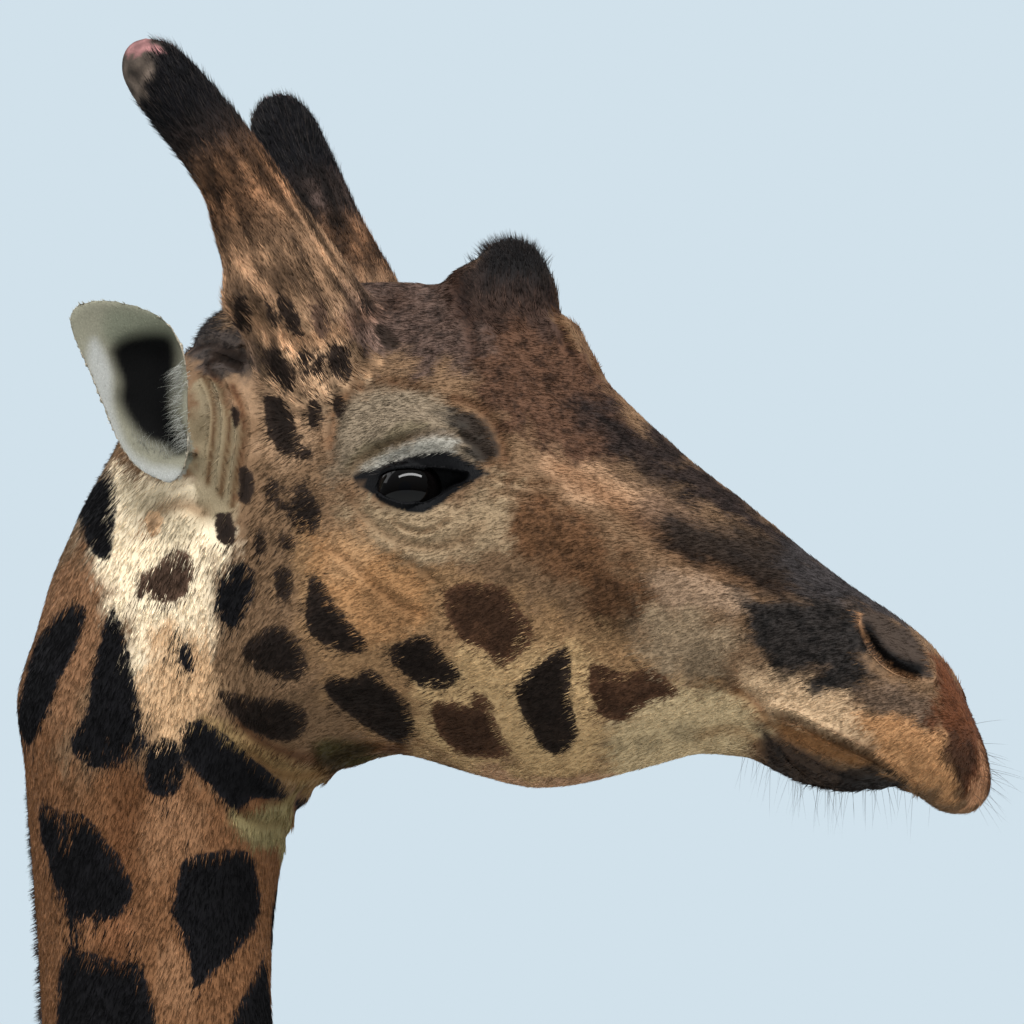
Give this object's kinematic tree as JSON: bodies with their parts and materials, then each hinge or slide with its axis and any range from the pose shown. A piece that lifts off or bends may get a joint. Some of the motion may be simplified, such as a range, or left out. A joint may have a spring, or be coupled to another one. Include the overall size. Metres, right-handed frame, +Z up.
{
  "type": "giraffe",
  "caption": "Life-size standing bull giraffe with patched coat, head turned slightly to its left, resting on its hooves.",
  "frame": {"origin": "on the floor, under the middle of the animal's box", "axes": "+Z up, +X the way the body faces, +Y to the animal's left"},
  "size_m": [2.8946, 0.76, 5.3239],
  "materials": {
    "coat": "short flat fur, near-black patches on a tan to cream ground",
    "horn_coat": "short dark fur over bone, worn bald at the knobs",
    "mane": "stiff upright hair",
    "tail_hair": "long coarse black hair",
    "hoof": "grown horn, satin, worn at the edge",
    "eye": "wet, glossy"
  },
  "bodies": {
    "root": {"ear_left": "coat", "ear_right": "coat", "eye_left": "eye", "eye_right": "eye", "fore_leg_left_inner_claw": "hoof", "fore_leg_left_lower": "coat", "fore_leg_left_outer_claw": "hoof", "fore_leg_left_upper": "coat", "fore_leg_right_inner_claw": "hoof", "fore_leg_right_lower": "coat", "fore_leg_right_outer_claw": "hoof", "fore_leg_right_upper": "coat", "head": "coat", "hind_leg_left_inner_claw": "hoof", "hind_leg_left_lower": "coat", "hind_leg_left_outer_claw": "hoof", "hind_leg_left_upper": "coat", "hind_leg_right_inner_claw": "hoof", "hind_leg_right_lower": "coat", "hind_leg_right_outer_claw": "hoof", "hind_leg_right_upper": "coat", "lower_jaw": "coat", "mane_lower": "mane", "mane_middle": "mane", "mane_upper": "mane", "neck_lower": "coat", "neck_middle": "coat", "neck_upper": "coat", "ossicone_left": "horn_coat", "ossicone_median": "horn_coat", "ossicone_right": "horn_coat", "tail": "coat", "tail_tuft": "tail_hair", "trunk": "coat"}
  },
  "joints": []
}
